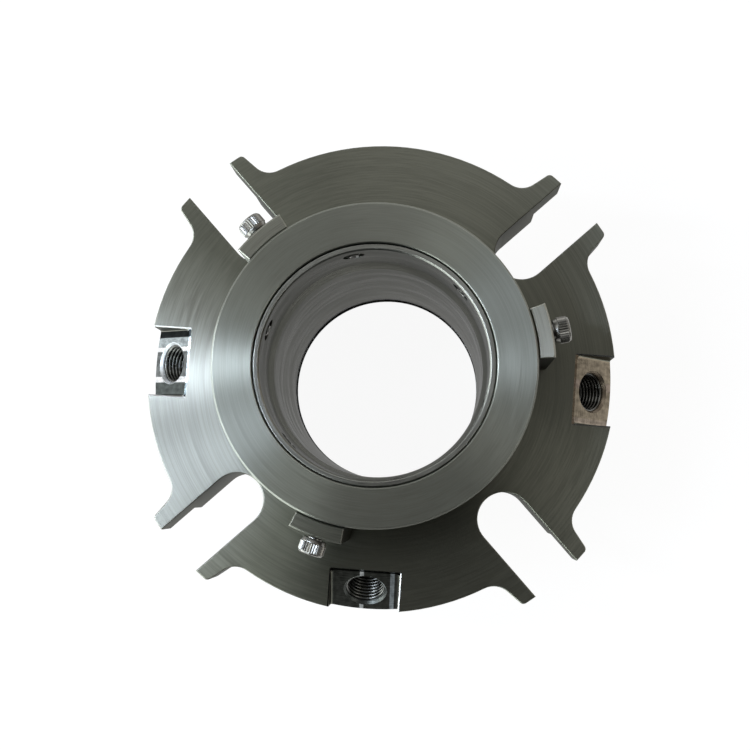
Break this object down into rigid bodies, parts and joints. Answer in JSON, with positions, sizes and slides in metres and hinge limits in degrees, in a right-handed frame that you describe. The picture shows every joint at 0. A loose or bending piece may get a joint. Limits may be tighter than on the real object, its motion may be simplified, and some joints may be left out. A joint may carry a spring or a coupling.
{
  "type": "cartridge mechanical seal",
  "caption": "Pump shaft seal cartridge: slotted gland plate with slanted threaded ports, shaft sleeve, drive collar and setting clips around a spring-loaded face pair.",
  "frame": {"origin": "centre of the sleeve's inboard end, which the seal stands on", "axes": "+Z along the shaft from the pump's side to the drive collar, +X towards the flush port"},
  "size_m": [0.1614, 0.1614, 0.1082],
  "materials": {
    "gland_steel": "turned stainless steel",
    "collar_steel": "turned stainless steel",
    "sleeve_steel": "fine turned stainless steel",
    "clip_steel": "milled stainless steel",
    "screw_steel": "bright rolled stainless steel",
    "pin_steel": "ground stainless steel",
    "spring_steel": "rolled spring steel",
    "carbon": "turned carbon graphite",
    "seat_ceramic": "lapped silicon carbide",
    "seal_rubber": "moulded black rubber",
    "gasket_sheet": "pressed fibre sheet"
  },
  "bodies": {
    "gland": {"gland_plate": "gland_steel", "gland_gasket": "gasket_sheet", "stationary_seat": "seat_ceramic", "seat_oring": "seal_rubber", "seat_pin": "pin_steel", "throttle_bush": "carbon", "bush_retaining_ring": "spring_steel"},
    "rotor": {"shaft_sleeve": "sleeve_steel", "sleeve_oring": "seal_rubber", "drive_pins": "pin_steel", "wave_spring": "spring_steel", "drive_collar": "collar_steel", "collar_set_screws": "screw_steel"},
    "face": {"thrust_ring": "sleeve_steel", "primary_ring": "carbon", "primary_oring": "seal_rubber"},
    "clip_1": {"setting_clip_1": "clip_steel", "clip_screw_1": "screw_steel"},
    "clip_2": {"setting_clip_2": "clip_steel", "clip_screw_2": "screw_steel"},
    "clip_3": {"setting_clip_3": "clip_steel", "clip_screw_3": "screw_steel"}
  },
  "joints": [
    {"name": "rotor_spin", "type": "hinge", "parent": "gland", "child": "rotor", "pos_m": [0, 0, 0.05], "axis": [0, 0, 1], "continuous": true},
    {"name": "face_float", "type": "slide", "parent": "rotor", "child": "face", "axis": [0, 0, 1], "range_m": [-0.002, 0], "stiffness_N_per_m": 15000, "springref_m": 0.004, "deforming": ["wave_spring"]},
    {"name": "clip_1_release", "type": "slide", "parent": "rotor", "child": "clip_1", "axis": [-0.7071, 0.7071, 0], "range_m": [0, 0.0032]},
    {"name": "clip_2_release", "type": "slide", "parent": "rotor", "child": "clip_2", "axis": [0.9659, 0.2588, 0], "range_m": [0, 0.0032]},
    {"name": "clip_3_release", "type": "slide", "parent": "rotor", "child": "clip_3", "axis": [-0.2588, -0.9659, 0], "range_m": [0, 0.0032]}
  ]
}
